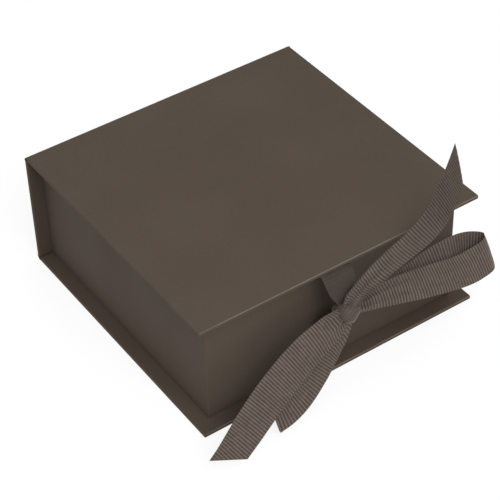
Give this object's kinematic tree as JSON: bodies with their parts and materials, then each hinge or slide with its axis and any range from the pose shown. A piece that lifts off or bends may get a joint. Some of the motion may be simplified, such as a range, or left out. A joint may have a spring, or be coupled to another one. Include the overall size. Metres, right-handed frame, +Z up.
{
  "type": "gift box",
  "caption": "Square book-style gift box: a paper-covered board case hinged over an inset tray and closed in front with a tied grosgrain ribbon bow.",
  "frame": {"origin": "middle of the case's plan, on the underside of the base", "axes": "+Z up, -Y towards the front with the bow, +Y towards the spine, +X to the right seen from the front"},
  "size_m": [0.1652, 0.173, 0.1106],
  "materials": {
    "greyboard": "matte",
    "cover_paper": "matte",
    "lining_paper": "matte",
    "stay_tape": "matte",
    "ribbon": "ribbed weave"
  },
  "bodies": {
    "tray": {"base_board": "greyboard", "base_wrap": "cover_paper", "base_lining": "lining_paper", "base_crease": "cover_paper", "spine_board": "greyboard", "spine_wrap": "cover_paper", "spine_lining": "lining_paper", "lid_hinge": "cover_paper", "tray_floor": "greyboard", "tray_front_wall": "greyboard", "tray_back_wall": "greyboard", "tray_left_wall": "greyboard", "tray_right_wall": "greyboard", "corner_stays": "stay_tape", "tray_wrap": "cover_paper", "tray_lining": "lining_paper", "tray_ribbon": "ribbon", "bow_knot": "ribbon", "bow_right_loop": "ribbon", "bow_left_loop": "ribbon", "bow_upper_tail": "ribbon", "bow_lower_tail": "ribbon"},
    "lid": {"lid_board": "greyboard", "lid_wrap": "cover_paper", "lid_lining": "lining_paper", "lid_ribbon": "ribbon"}
  },
  "joints": [
    {"name": "lid_turn", "type": "hinge", "parent": "tray", "child": "lid", "pos_m": [0, 0.07237, 0.06237], "axis": [-1, 0, 0], "range_deg": [0, 200], "deforming": ["lid_hinge"]}
  ]
}
